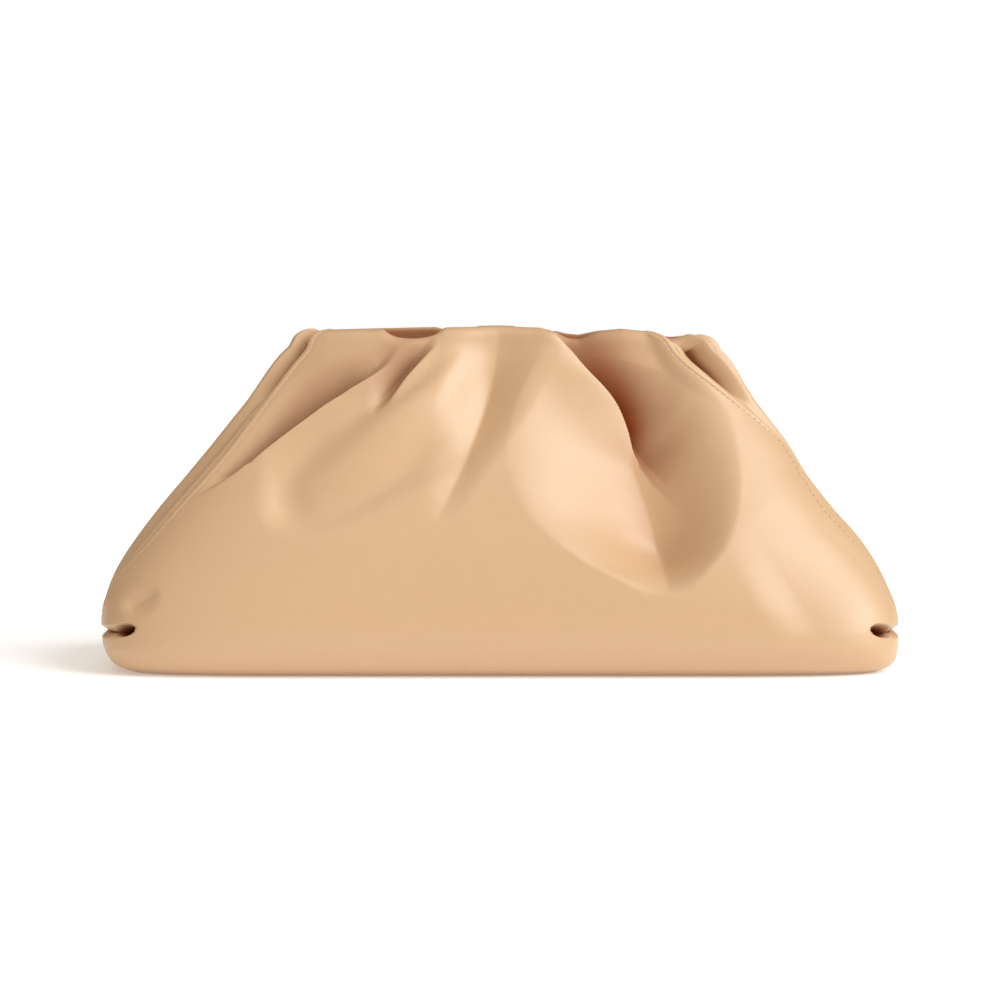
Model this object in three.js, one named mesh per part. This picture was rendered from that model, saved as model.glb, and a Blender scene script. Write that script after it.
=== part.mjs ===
// A soft leather pouch bag: one draped hide, two gathered side pieces and a frame hidden in its lips.
// Millimetres, +Z up, front towards -Y, the origin on the floor under the middle of the bag.
import * as THREE from 'three';

// Overall sizes
const LENGTH = 400;
const DEPTH = 160;
const HEIGHT = 171;

// Leather and seams
const WALL = 2;
const SEAM_GAP = 0.35;

// Mouth: a slit between two rolled lips, with a hem turned down inside
const MOUTH_LENGTH = 181;
const MOUTH_WIDTH = 9.2;
const MOUTH_OFFSET = 2.5;
const LIP_ROLL = 9;
const LIP_PINCH = 0.55;
const HEM_DROP = 25;

// Hidden frame: a flat bar bent to a ring, standing against the hem
const FRAME_THICKNESS = 4;
const FRAME_HEIGHT = 10;
const FRAME_CLEARANCE = 0.3;
const FRAME_RAISE = 1.5;
const FOLD_CLEARANCE = 1.5;

// Folds, gathers and the pleat pinched across each end: the tables below are in shares of these
const FOLD_DEPTH = 23;
const FOLD_REACH = 58;
const GATHER_DEPTH = 5;
const PLEAT_DEPTH = 5;
const PLEAT_HEIGHT = 5;
const PLEAT_REACH = 22;
const PLEAT_SHARPNESS = 1.5;

// Cross-sections from the floor to the foot of the lips. height is a share of the way up to the lips.
// reach and depth are shares of the way from the lips' size to the bag's.
// lean is a share of MOUTH_OFFSET, and squareness is the exponent of the outline.
// seam is the share of the depth that the side piece takes.
const SECTIONS = [
  { height: 0.000, reach: 0.870, depth: 0.700, lean: 0.9, squareness: 7.0, seam: 0.50 },
  { height: 0.025, reach: 0.955, depth: 0.861, lean: 0.7, squareness: 6.5, seam: 0.50 },
  { height: 0.074, reach: 0.991, depth: 0.974, lean: 0.2, squareness: 6.0, seam: 0.50 },
  { height: 0.123, reach: 1.000, depth: 1.000, lean: 0.0, squareness: 5.5, seam: 0.50 },
  { height: 0.173, reach: 0.998, depth: 0.993, lean: -0.1, squareness: 5.0, seam: 0.50 },
  { height: 0.228, reach: 0.981, depth: 0.974, lean: -0.3, squareness: 4.5, seam: 0.49 },
  { height: 0.309, reach: 0.916, depth: 0.922, lean: -0.4, squareness: 4.0, seam: 0.47 },
  { height: 0.401, reach: 0.808, depth: 0.843, lean: -0.5, squareness: 3.6, seam: 0.45 },
  { height: 0.494, reach: 0.673, depth: 0.730, lean: -0.9, squareness: 3.4, seam: 0.44 },
  { height: 0.593, reach: 0.532, depth: 0.600, lean: -0.7, squareness: 3.2, seam: 0.43 },
  { height: 0.685, reach: 0.414, depth: 0.460, lean: 0.0, squareness: 3.0, seam: 0.44 },
  { height: 0.778, reach: 0.288, depth: 0.321, lean: 0.2, squareness: 2.9, seam: 0.48 },
  { height: 0.870, reach: 0.167, depth: 0.190, lean: 0.4, squareness: 2.8, seam: 0.60 },
  { height: 0.951, reach: 0.070, depth: 0.077, lean: 0.8, squareness: 2.7, seam: 0.73 },
];
const PLEAT_SECTION = 3;

// Sections over a lip, by the angle turned over it from its outer foot
const LIP_SECTIONS = [
  { angle: 0, squareness: 2.6, seam: 0.82 },
  { angle: 50, squareness: 2.4, seam: 0.87 },
  { angle: 90, squareness: 2.2, seam: 0.90 },
  { angle: 130, squareness: 2.2, seam: 0.91 },
  { angle: 180, squareness: 2.2, seam: 0.91 },
];

// Folds pressed into the front and back, seen from the front.
// from, bend and to are a curve's points, in shares of half the length and of the height.
// The lists run along the curve, from its upper end to its lower end.
// press is the depth in shares of FOLD_DEPTH, negative where the leather swells.
// west and east are how far the fold reaches to either side, in shares of FOLD_REACH.
const FRONT_FOLDS = [
  { name: 'big dent', kind: 'dent', from: [0.145, 1.025], bend: [0.399, 0.674], to: [0.412, 0.230],
    press: [0.11, 0.52, 0.90, 1.00, 0.96, 0.78, 0.50, 0.12],
    west: [0.17, 0.66, 0.93, 1.00, 0.98, 0.84, 0.60, 0.20],
    east: [0.90, 0.91, 0.91, 0.90, 0.84, 0.72, 0.50, 0.18] },
  { name: 'big crease', kind: 'crease', from: [0.152, 1.013], bend: [0.253, 0.845], to: [0.380, 0.590],
    press: [0.00, 0.25, 0.42, 0.48, 0.38, 0.15, 0.00],
    west: [0.14, 0.15, 0.16, 0.16, 0.16, 0.16, 0.14],
    east: [0.28, 0.41, 0.48, 0.48, 0.41, 0.28, 0.14] },
  { name: 'second valley', kind: 'dent', from: [0.000, 1.025], bend: [0.000, 0.794], to: [-0.161, 0.434],
    press: [0.11, 0.26, 0.35, 0.33, 0.24, 0.13, 0.00],
    west: [0.14, 0.18, 0.21, 0.23, 0.21, 0.17, 0.10],
    east: [0.41, 0.47, 0.45, 0.38, 0.28, 0.18, 0.10] },
  { name: 'short crease', kind: 'crease', from: [-0.160, 0.981], bend: [-0.239, 0.897], to: [-0.331, 0.736],
    press: [0.00, 0.13, 0.24, 0.24, 0.14, 0.05, 0.00],
    west: [0.10, 0.14, 0.16, 0.16, 0.15, 0.12, 0.10],
    east: [0.10, 0.15, 0.18, 0.18, 0.16, 0.12, 0.10] },
  { name: 'long roll', kind: 'roll', from: [-0.270, 0.960], bend: [-0.445, 0.735], to: [-0.771, 0.524],
    press: [0.00, 0.22, 0.42, 0.50, 0.44, 0.28, 0.12, 0.00],
    west: [0.16, 0.34, 0.48, 0.52, 0.50, 0.36, 0.22, 0.12],
    east: [0.14, 0.18, 0.20, 0.20, 0.19, 0.17, 0.14, 0.10] },
  { name: 'knuckle', kind: 'swell', from: [0.000, 0.632], bend: [-0.367, 0.567], to: [-0.580, 0.371],
    press: [0.00, -0.06, -0.13, -0.18, -0.20, -0.12, 0.00],
    west: [0.20, 0.26, 0.30, 0.34, 0.38, 0.34, 0.20],
    east: [0.20, 0.28, 0.34, 0.40, 0.42, 0.38, 0.20] },
  { name: 'small knuckle', kind: 'swell', from: [-0.250, 0.946], bend: [-0.368, 0.830], to: [-0.420, 0.696],
    press: [0.00, -0.05, -0.11, -0.15, -0.12, 0.00],
    west: [0.14, 0.18, 0.20, 0.20, 0.18, 0.12],
    east: [0.12, 0.16, 0.18, 0.18, 0.16, 0.12] },
  { name: 'streak', kind: 'swell', from: [-0.020, 0.990], bend: [-0.137, 0.903], to: [-0.283, 0.686],
    press: [0.00, -0.05, -0.11, -0.13, -0.09, 0.00],
    west: [0.12, 0.15, 0.18, 0.18, 0.16, 0.12],
    east: [0.12, 0.16, 0.19, 0.20, 0.18, 0.12] },
  { name: 'right hip', kind: 'swell', from: [0.562, 0.470], bend: [0.692, 0.240], to: [0.713, 0.050],
    press: [0.00, -0.06, -0.12, -0.15, -0.12, 0.00],
    west: [0.18, 0.24, 0.28, 0.28, 0.24, 0.16],
    east: [0.28, 0.45, 0.58, 0.64, 0.52, 0.28] },
];
const BACK_FOLDS = [
  { name: 'back dent', kind: 'dent', from: [-0.110, 1.020], bend: [-0.300, 0.720], to: [-0.350, 0.290],
    press: [0.14, 0.44, 0.60, 0.58, 0.42, 0.20, 0.00],
    west: [0.34, 0.60, 0.74, 0.76, 0.66, 0.46, 0.18],
    east: [0.30, 0.52, 0.64, 0.66, 0.58, 0.40, 0.18] },
  { name: 'back valley', kind: 'dent', from: [0.090, 1.020], bend: [0.110, 0.800], to: [0.230, 0.470],
    press: [0.12, 0.28, 0.36, 0.32, 0.20, 0.08, 0.00],
    west: [0.24, 0.38, 0.44, 0.42, 0.34, 0.24, 0.12],
    east: [0.20, 0.28, 0.34, 0.34, 0.28, 0.20, 0.12] },
  { name: 'back crease', kind: 'roll', from: [0.290, 0.985], bend: [0.430, 0.780], to: [0.660, 0.560],
    press: [0.00, 0.18, 0.32, 0.34, 0.24, 0.10, 0.00],
    west: [0.16, 0.30, 0.40, 0.42, 0.36, 0.24, 0.12],
    east: [0.12, 0.16, 0.19, 0.20, 0.19, 0.16, 0.12] },
  { name: 'back roll', kind: 'crease', from: [-0.390, 0.960], bend: [-0.520, 0.760], to: [-0.700, 0.560],
    press: [0.00, 0.14, 0.25, 0.26, 0.16, 0.06, 0.00],
    west: [0.12, 0.17, 0.20, 0.21, 0.19, 0.15, 0.12],
    east: [0.16, 0.28, 0.36, 0.38, 0.32, 0.22, 0.12] },
];

// Dips in the crests of the lips, on the front (side -1) or the back (side 1).
// at and reach are along X, in shares of half the length, and press is a share of FOLD_DEPTH.
const LIP_DIPS = [
  { name: 'front window', side: -1, at: -0.219, reach: 0.080, press: 0.27 },
  { name: 'front crease end', side: -1, at: 0.185, reach: 0.060, press: 0.10 },
  { name: 'back gather', side: 1, at: -0.110, reach: 0.060, press: 0.12 },
  { name: 'back valley end', side: 1, at: 0.090, reach: 0.060, press: 0.10 },
];

// How a fold rises to either side: by 1 - share ** valley, raised to the power rim
const STEEP = { valley: 1.6, rim: 1.3 };
const GRADUAL = { valley: 1.1, rim: 1.7 };
const ROUND = { valley: 2.0, rim: 2.0 };
const PROFILES = {
  dent: { west: { valley: 1.3, rim: 1.15 }, east: { valley: 2.0, rim: 1.5 } },
  crease: { west: STEEP, east: GRADUAL },
  roll: { west: GRADUAL, east: STEEP },
  swell: { west: ROUND, east: ROUND },
};

// Gathers down each side piece: at and reach in units of its half width, depth in shares of GATHER_DEPTH
const GATHERS = [
  { at: -0.62, reach: 0.30, depth: 0.9 },
  { at: -0.05, reach: 0.34, depth: 0.7 },
  { at: 0.55, reach: 0.34, depth: 0.8 },
];
const GATHER_FADE = [
  { height: 0.13, share: 0.0 },
  { height: 0.35, share: 0.4 },
  { height: 0.80, share: 0.9 },
  { height: 0.93, share: 1.0 },
  { height: 1.00, share: 0.4 },
];
const GATHER_FULLNESS = 0.25;

// Where the folds ease off, in rows: above the floor, below a lip's crest and beyond it
const FLOOR_EASE = 2;
const LIP_EASE = 1;
const FOLD_OVERRUN = 1.5;
const DIP_OVERRUN = 2;
const GATHER_OVERRUN = 1;

// Folds start where the leather begins to face the front or back, and are whole where it mostly does
const FACING_START = 0.05;
const FACING_FULL = 0.45;

// Mesh densities
const SIDE_COLUMNS = 8;
const CORNER_COLUMNS = 4;
const FRONT_COLUMNS = 48;
const BACK_COLUMNS = 20;
const LOW_ROWS = [0, 1, 2, 2.5, 3, 3.5, 4, 5, 6];
const FOLD_ROWS = 11;
const FLOOR_RINGS = [0.6];
const CURVE_STEPS = 40;
const NORMAL_STEP = 0.02;

// The outline runs once round a square of side 2, from the right end's front corner, so 0 to 8
const PERIMETER = 8;
const SIDE_SEAM = 0.5;
const RIGHT_END = 1;
const LEFT_END = 5;

const { clamp, lerp, smoothstep, degToRad } = THREE.MathUtils;

// Evenly spaced values, both ends among them
function steps(from, to, count) {
  return Array.from({ length: count + 1 }, (_, i) => from + ((to - from) * i) / count);
}

// The place on the square's edge at u: p runs along the length and q through the depth, both -1 to 1
function squareEdge(u) {
  const turn = ((u % PERIMETER) + PERIMETER) % PERIMETER;
  const side = Math.floor(turn / 2);
  const along = turn - 2 * side - 1;
  return [[1, along], [-along, 1], [-1, -along], [along, -1]][side];
}

// Every section from the floor over the lips to the hem, in millimetres
function makeSections() {
  const lipReach = MOUTH_LENGTH / 2 + 2 * LIP_ROLL;
  const lipDepth = MOUTH_WIDTH / 2 + 2 * LIP_ROLL;
  const lipFoot = HEIGHT - LIP_ROLL;
  const body = SECTIONS.map((row) => ({
    z: row.height * lipFoot,
    reach: lerp(lipReach, LENGTH / 2, row.reach),
    depth: lerp(lipDepth, DEPTH / 2, row.depth),
    lean: row.lean * MOUTH_OFFSET,
    squareness: row.squareness,
    seam: row.seam,
  }));
  const lip = LIP_SECTIONS.map((row) => {
    const angle = degToRad(row.angle);
    const beyondMouth = LIP_ROLL * (1 + Math.cos(angle));
    return {
      z: lipFoot + LIP_ROLL * Math.sin(angle),
      reach: MOUTH_LENGTH / 2 + beyondMouth,
      depth: MOUTH_WIDTH / 2 + beyondMouth,
      lean: MOUTH_OFFSET,
      squareness: row.squareness,
      seam: row.seam,
    };
  });
  return [...body, ...lip, { ...lip.at(-1), z: HEIGHT - HEM_DROP }];
}

const ROWS = makeSections();
const LIP_FOOT = SECTIONS.length;
const CREST = LIP_FOOT + LIP_SECTIONS.findIndex((row) => row.angle === 90);
const HEM = ROWS.length - 1;

// The Catmull-Rom curve through four values, at a share f of the way from b to c
function catmullRom(a, b, c, d, f) {
  return b + 0.5 * f * (c - a + f * (2 * a - 5 * b + 4 * c - d + f * (3 * (b - c) + d - a)));
}

// A smooth value between rows, for a row number with a fraction
function between(rows, position, key) {
  const last = rows.length - 1;
  const i = clamp(Math.floor(position), 0, last - 1);
  const f = position - i;
  const b = rows[i][key];
  const c = rows[i + 1][key];
  const a = i > 0 ? rows[i - 1][key] : 2 * b - c;
  const d = i + 2 <= last ? rows[i + 2][key] : 2 * c - b;
  return catmullRom(a, b, c, d, f);
}

// The place across a side piece, in units of its half width, or outside -1 to 1 beyond its seams
function acrossSide(p, q) {
  return Math.abs(p) === 1 && Math.abs(q) <= SIDE_SEAM ? q / SIDE_SEAM : Math.sign(q);
}

// The bag with no folds
function envelope(u, s) {
  const [p, squareQ] = squareEdge(u);
  const seam = between(ROWS, s, 'seam');
  let q = squareQ;
  if (Math.abs(p) === 1) {
    const size = Math.abs(squareQ);
    const inner = (size / SIDE_SEAM) * seam;
    const outer = seam + ((size - SIDE_SEAM) / (1 - SIDE_SEAM)) * (1 - seam);
    q = Math.sign(squareQ) * (size < SIDE_SEAM ? inner : outer);
  }
  const n = between(ROWS, s, 'squareness');
  const share = (Math.abs(p) ** n + Math.abs(q) ** n) ** (-1 / n);
  const along = p * share;
  return new THREE.Vector3(
    between(ROWS, s, 'reach') * along + between(ROWS, s, 'lean') * along ** 2,
    between(ROWS, s, 'depth') * q * share,
    between(ROWS, s, 'z'),
  );
}

// The way out of a surface at a point, from two neighbours each way
function outward(surface, u, s) {
  const low = Math.max(s - NORMAL_STEP, 0);
  const high = Math.min(s + NORMAL_STEP, HEM);
  const round = surface(u + NORMAL_STEP, s).sub(surface(u - NORMAL_STEP, s));
  const up = surface(u, high).sub(surface(u, low));
  return round.cross(up).normalize();
}

// A smooth value from a list of equal steps along a fold, for t from 0 to 1
function alongFold(list, t) {
  const place = clamp(t, 0, 1) * (list.length - 1);
  const i = Math.min(Math.floor(place), list.length - 2);
  const f = place - i;
  const [a, b, c, d] = [i - 1, i, i + 1, i + 2].map((k) => list[clamp(k, 0, list.length - 1)]);
  return catmullRom(a, b, c, d, f);
}

// The fold's own line, as points along a curve with their directions
function foldLine(fold) {
  const place = ([x, z]) => new THREE.Vector2((x * LENGTH) / 2, z * HEIGHT);
  const curve = new THREE.QuadraticBezierCurve(place(fold.from), place(fold.bend), place(fold.to));
  const length = curve.getLength();
  return steps(0, 1, CURVE_STEPS).map((t) => (
    { t, length, point: curve.getPointAt(t), direction: curve.getTangentAt(t) }
  ));
}

// How far the fold presses the leather in at a place seen from the front
function foldPress(fold, x, z) {
  const place = new THREE.Vector2(x, z);
  const nearest = fold.line.reduce((best, step) => (
    step.point.distanceToSquared(place) < best.point.distanceToSquared(place) ? step : best
  ));
  const offset = place.sub(nearest.point);
  const ahead = nearest.t + offset.dot(nearest.direction) / nearest.length;
  const t = clamp(ahead, 0, 1);
  const aside = offset.cross(nearest.direction);
  const side = aside < 0 ? 'east' : 'west';
  const away = Math.hypot(aside, (ahead - t) * nearest.length);
  const share = clamp(away / (FOLD_REACH * alongFold(fold[side], t)), 0, 1);
  const { valley, rim } = PROFILES[fold.kind][side];
  return FOLD_DEPTH * alongFold(fold.press, t) * (1 - share ** valley) ** rim;
}

const withLines = (folds) => folds.map((fold) => ({ ...fold, line: foldLine(fold) }));
const FRONT = withLines(FRONT_FOLDS);
const BACK = withLines(BACK_FOLDS);

// The folds of the front or back at a place, easing off at the floor, behind the lips and round the ends.
// They stop short of the frame and, above it, of pinching the lip shut.
function facePress(place, normal, u, s) {
  const folds = place.y < 0 ? FRONT : BACK;
  const overLip = smoothstep(s, LIP_FOOT - LIP_EASE, CREST);
  const turned = Math.abs(outward(envelope, u, Math.min(s, LIP_FOOT)).y);
  const facing = smoothstep(turned, FACING_START, FACING_FULL);
  const strength = facing * smoothstep(s, 0, FLOOR_EASE) * (1 - smoothstep(s, CREST, CREST + FOLD_OVERRUN));
  const slit = MOUTH_WIDTH / 2;
  const frameSide = slit + 2 * WALL + FRAME_CLEARANCE + FRAME_THICKNESS + FOLD_CLEARANCE;
  const pinchedSide = slit + LIP_PINCH * (Math.abs(place.y) - slit);
  const room = Math.abs(place.y) - Math.min(frameSide, pinchedSide);
  if (strength === 0 || room <= 0) return new THREE.Vector3();
  const press = strength * folds.reduce((sum, fold) => sum + foldPress(fold, place.x, place.z), 0);
  const level = new THREE.Vector3(0, Math.sign(place.y), 0);
  const inward = normal.clone().lerp(level, overLip).normalize().negate();
  return inward.multiplyScalar(press > 0 ? room * Math.tanh(press / room) : press);
}

// The dips in a lip's crest, which don't reach the hem behind it
function lipPress(place, s) {
  const rise = smoothstep(s, LIP_FOOT - LIP_EASE, CREST);
  const fade = 1 - smoothstep(s, CREST, CREST + DIP_OVERRUN);
  return rise * fade * LIP_DIPS.reduce((sum, dip) => {
    const share = clamp(Math.abs((2 * place.x) / LENGTH - dip.at) / dip.reach, 0, 1);
    return sum + (Math.sign(place.y) === dip.side ? FOLD_DEPTH * dip.press * (1 - share ** 2) ** 2 : 0);
  }, 0);
}

// The gathers of a side piece, with a little fullness between its seams
function gatherPress(place, u, s) {
  const [p, q] = squareEdge(u);
  const across = acrossSide(p, q);
  if (Math.abs(across) >= 1 || s > CREST + GATHER_OVERRUN) return 0;
  const height = place.z / HEIGHT;
  const step = clamp(GATHER_FADE.findIndex((row) => row.height > height), 1, GATHER_FADE.length - 1);
  const [low, high] = [GATHER_FADE[step - 1], GATHER_FADE[step]];
  const share = clamp((height - low.height) / (high.height - low.height), 0, 1);
  const fade = lerp(low.share, high.share, share) * (1 - smoothstep(s, CREST, CREST + GATHER_OVERRUN));
  const wave = GATHERS.reduce((sum, row) => {
    const closeness = clamp(1 - Math.abs(across - row.at) / row.reach, 0, 1);
    return sum + row.depth * smoothstep(closeness, 0, 1);
  }, 0);
  return GATHER_DEPTH * fade * (wave - GATHER_FULLNESS * (1 - across ** 2));
}

// The pleat pinched across each end, above the base
function pleatPress(place) {
  const height = ROWS[PLEAT_SECTION].z;
  const closeness = clamp(1 - Math.abs(place.z - height) / PLEAT_HEIGHT, 0, 1);
  const inboard = LENGTH / 2 - Math.abs(place.x);
  const fade = 1 - smoothstep(inboard, PLEAT_REACH / 2, PLEAT_REACH);
  return PLEAT_DEPTH * closeness ** PLEAT_SHARPNESS * fade;
}

// The bag's outer surface with all its folds
function leather(u, s) {
  const place = envelope(u, s);
  const normal = outward(envelope, u, s);
  const face = facePress(place, normal, u, s);
  const press = lipPress(place, s) + gatherPress(place, u, s) + pleatPress(place);
  return place.addScaledVector(normal, -press).add(face);
}

// A closed mesh from a grid of cells: outer faces, the same faces a wall further in, and the cut edges
class SheetMesh {
  constructor() {
    this.positions = [];
    this.triangles = [];
    this.corners = new Map();
    this.edges = new Map();
  }

  // A corner's outer and inner points are kept once for each key
  corner(key, makePair) {
    if (!this.corners.has(key)) {
      const first = this.positions.length / 3;
      makePair().forEach((point) => this.positions.push(point.x, point.y, point.z));
      this.corners.set(key, first);
    }
    return this.corners.get(key);
  }

  // Corners run anticlockwise seen from outside
  face(corners) {
    for (let i = 2; i < corners.length; i += 1) {
      const [a, b, c] = [corners[0], corners[i - 1], corners[i]];
      this.triangles.push(a, b, c, a + 1, c + 1, b + 1);
    }
    corners.forEach((from, i) => {
      const to = corners[(i + 1) % corners.length];
      if (!this.edges.delete(`${to},${from}`)) this.edges.set(`${from},${to}`, [from, to]);
    });
  }

  // A cut edge is folded the same way on both sides of a seam: from its lower outer corner
  geometry() {
    this.edges.forEach(([from, to]) => {
      const rising = this.positions[3 * from + 2] < this.positions[3 * to + 2];
      this.triangles.push(...(rising
        ? [from, from + 1, to + 1, from, to + 1, to]
        : [from, from + 1, to, from + 1, to + 1, to]));
    });
    const geometry = new THREE.BufferGeometry();
    geometry.setAttribute('position', new THREE.Float32BufferAttribute(this.positions, 3));
    geometry.setIndex(this.triangles);
    geometry.computeVertexNormals();
    return geometry;
  }
}

// The pair of points through the leather at a place. An edge takes the direction of the edge that it faces.
function leatherPair(u, s, facedU = u, facedS = s) {
  const outer = leather(u, s);
  return [outer, outer.clone().addScaledVector(outward(leather, facedU, facedS), -WALL)];
}

// The columns once round the bag, starting from the back seam of the right side piece
function columnPlaces() {
  const spans = [
    [SIDE_SEAM, 2 - SIDE_SEAM, SIDE_COLUMNS],
    [2 - SIDE_SEAM, 2, CORNER_COLUMNS],
    [2, 4, BACK_COLUMNS],
    [4, 4 + SIDE_SEAM, CORNER_COLUMNS],
    [4 + SIDE_SEAM, 6 - SIDE_SEAM, SIDE_COLUMNS],
    [6 - SIDE_SEAM, 6, CORNER_COLUMNS],
    [6, 8, FRONT_COLUMNS],
    [8, 8 + SIDE_SEAM, CORNER_COLUMNS],
  ];
  return spans.flatMap(([from, to, count]) => steps(from, to, count).slice(0, -1));
}

// The rows from the floor over the lips to the hem
function rowPlaces() {
  const foldRows = steps(LOW_ROWS.at(-1), LIP_FOOT, FOLD_ROWS).slice(1);
  return [...LOW_ROWS, ...foldRows, ...steps(LIP_FOOT, HEM, HEM - LIP_FOOT).slice(1)];
}

const isSide = (u) => [RIGHT_END, LEFT_END].some((end) => Math.abs((u % PERIMETER) - end) < SIDE_SEAM);

// The front, base and back in one piece, open at both ends above the pleat
function makeMainPanel() {
  const mesh = new SheetMesh();
  const columns = columnPlaces();
  const rows = rowPlaces();
  const pleatRow = rows.indexOf(PLEAT_SECTION);
  const at = (row, column) => {
    const index = column % columns.length;
    return mesh.corner(`${row},${index}`, () => leatherPair(columns[index], rows[row]));
  };
  columns.forEach((u, column) => {
    const next = columns[column + 1] ?? PERIMETER + SIDE_SEAM;
    const top = isSide((u + next) / 2) ? pleatRow : rows.length - 1;
    for (let row = 0; row < top; row += 1) {
      mesh.face([at(row, column), at(row, column + 1), at(row + 1, column + 1), at(row + 1, column)]);
    }
  });
  addFloor(mesh, columns, (column) => at(0, column));
  return mesh.geometry();
}

// The flat underside, as rings round the middle
function addFloor(mesh, columns, edge) {
  const middle = new THREE.Vector3(0, 0, 0);
  const raised = (point) => [point, point.clone().setZ(WALL)];
  const rings = FLOOR_RINGS.map((share, ring) => (column) => {
    const index = column % columns.length;
    const point = () => leather(columns[index], 0).multiplyScalar(share);
    return mesh.corner(`floor${ring},${index}`, () => raised(point()));
  });
  rings.push(edge);
  const centre = mesh.corner('floor', () => raised(middle));
  columns.forEach((_, column) => {
    mesh.face([centre, rings[0](column + 1), rings[0](column)]);
    rings.slice(1).forEach((ring, i) => {
      mesh.face([rings[i](column), rings[i](column + 1), ring(column + 1), ring(column)]);
    });
  });
}

// How far a step of the outline at a side seam leads away from the seam, for each unit of the outline
function awayFromSeam(middle, s) {
  const u = middle + SIDE_SEAM;
  const low = Math.max(s - NORMAL_STEP, 0);
  const high = Math.min(s + NORMAL_STEP, HEM);
  const seam = envelope(u, high).sub(envelope(u, low)).normalize();
  return envelope(u, s).sub(envelope(u - NORMAL_STEP, s)).cross(seam).length() / NORMAL_STEP;
}

// One gathered side piece, a seam gap inside the main panel's edges
function makeSidePiece(middle) {
  const mesh = new SheetMesh();
  const rise = ROWS[PLEAT_SECTION + 1].z - ROWS[PLEAT_SECTION].z;
  const rows = [PLEAT_SECTION + SEAM_GAP / rise, ...rowPlaces().filter((s) => s > PLEAT_SECTION)];
  const columns = steps(-SIDE_SEAM, SIDE_SEAM, SIDE_COLUMNS);
  const at = (row, column) => mesh.corner(`${row},${column}`, () => {
    const s = rows[row];
    const limit = SIDE_SEAM - SEAM_GAP / awayFromSeam(middle, s);
    const across = clamp(columns[column], -limit, limit);
    return leatherPair(middle + across, s, middle + columns[column], row === 0 ? PLEAT_SECTION : s);
  });
  for (let row = 0; row < rows.length - 1; row += 1) {
    for (let column = 0; column < SIDE_COLUMNS; column += 1) {
      mesh.face([at(row, column), at(row, column + 1), at(row + 1, column + 1), at(row + 1, column)]);
    }
  }
  return mesh.geometry();
}

// The frame: a ring of flat bar that stands against the hidden side of the hem
function makeFrame() {
  const columns = columnPlaces();
  const bottom = HEIGHT - HEM_DROP + FRAME_RAISE;
  const near = WALL + FRAME_CLEARANCE;
  const section = [
    [near, bottom],
    [near + FRAME_THICKNESS, bottom],
    [near + FRAME_THICKNESS, bottom + FRAME_HEIGHT],
    [near, bottom + FRAME_HEIGHT],
  ];
  const positions = [];
  const triangles = [];
  columns.forEach((u, column) => {
    const wall = leather(u, HEM);
    const into = outward(leather, u, HEM).setZ(0).normalize();
    section.forEach(([back, z]) => {
      positions.push(wall.x - into.x * back, wall.y - into.y * back, z);
    });
    section.forEach((_, corner) => {
      const next = (corner + 1) % section.length;
      const here = column * section.length;
      const there = ((column + 1) % columns.length) * section.length;
      triangles.push(here + corner, there + corner, there + next, here + corner, there + next, here + next);
    });
  });
  const geometry = new THREE.BufferGeometry();
  geometry.setAttribute('position', new THREE.Float32BufferAttribute(positions, 3));
  geometry.setIndex(triangles);
  geometry.computeVertexNormals();
  return geometry;
}

const leatherMaterial = new THREE.MeshStandardMaterial({ color: 0xe6bd8e, roughness: 0.48, metalness: 0 });
const frameMaterial = new THREE.MeshStandardMaterial({ color: 0x8c8c90, roughness: 0.4, metalness: 1 });

function named(name, geometry, material) {
  const mesh = new THREE.Mesh(geometry, material);
  mesh.name = name;
  return mesh;
}

const bag = new THREE.Group();
bag.add(named('main_panel', makeMainPanel(), leatherMaterial));
bag.add(named('gusset_right', makeSidePiece(RIGHT_END), leatherMaterial));
bag.add(named('gusset_left', makeSidePiece(LEFT_END), leatherMaterial));
bag.add(named('clasp_frame', makeFrame(), frameMaterial));

export default bag;
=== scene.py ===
# The looks of a soft leather pouch bag: its hide with every fold, the side pieces, seams and stitches.
# Metres, +Z up, front towards -Y, the origin on the floor under the middle of the bag.
import math

import bpy
import numpy as np
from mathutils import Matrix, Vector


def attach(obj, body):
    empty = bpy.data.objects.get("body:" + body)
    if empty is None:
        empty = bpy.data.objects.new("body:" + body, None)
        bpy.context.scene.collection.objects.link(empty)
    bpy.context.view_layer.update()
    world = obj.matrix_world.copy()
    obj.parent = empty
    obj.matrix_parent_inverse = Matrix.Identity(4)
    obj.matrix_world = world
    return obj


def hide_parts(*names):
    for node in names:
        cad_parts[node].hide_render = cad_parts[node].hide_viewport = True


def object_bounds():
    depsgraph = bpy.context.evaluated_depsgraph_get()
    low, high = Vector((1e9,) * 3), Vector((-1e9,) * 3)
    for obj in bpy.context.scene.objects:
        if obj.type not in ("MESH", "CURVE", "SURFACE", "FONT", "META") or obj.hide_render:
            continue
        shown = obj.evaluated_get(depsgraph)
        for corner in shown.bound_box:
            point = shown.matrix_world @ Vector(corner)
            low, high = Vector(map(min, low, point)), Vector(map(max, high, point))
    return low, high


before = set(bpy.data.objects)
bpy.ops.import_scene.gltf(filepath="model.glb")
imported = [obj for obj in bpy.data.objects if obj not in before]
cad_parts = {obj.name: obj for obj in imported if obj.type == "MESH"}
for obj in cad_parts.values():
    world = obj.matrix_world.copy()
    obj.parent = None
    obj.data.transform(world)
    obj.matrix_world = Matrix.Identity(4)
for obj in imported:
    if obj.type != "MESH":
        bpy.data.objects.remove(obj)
CAD_LOW, CAD_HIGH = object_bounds()

# Overall sizes, from the frame
LENGTH = CAD_HIGH.x - CAD_LOW.x
DEPTH = CAD_HIGH.y - CAD_LOW.y
HEIGHT = CAD_HIGH.z - CAD_LOW.z

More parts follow.
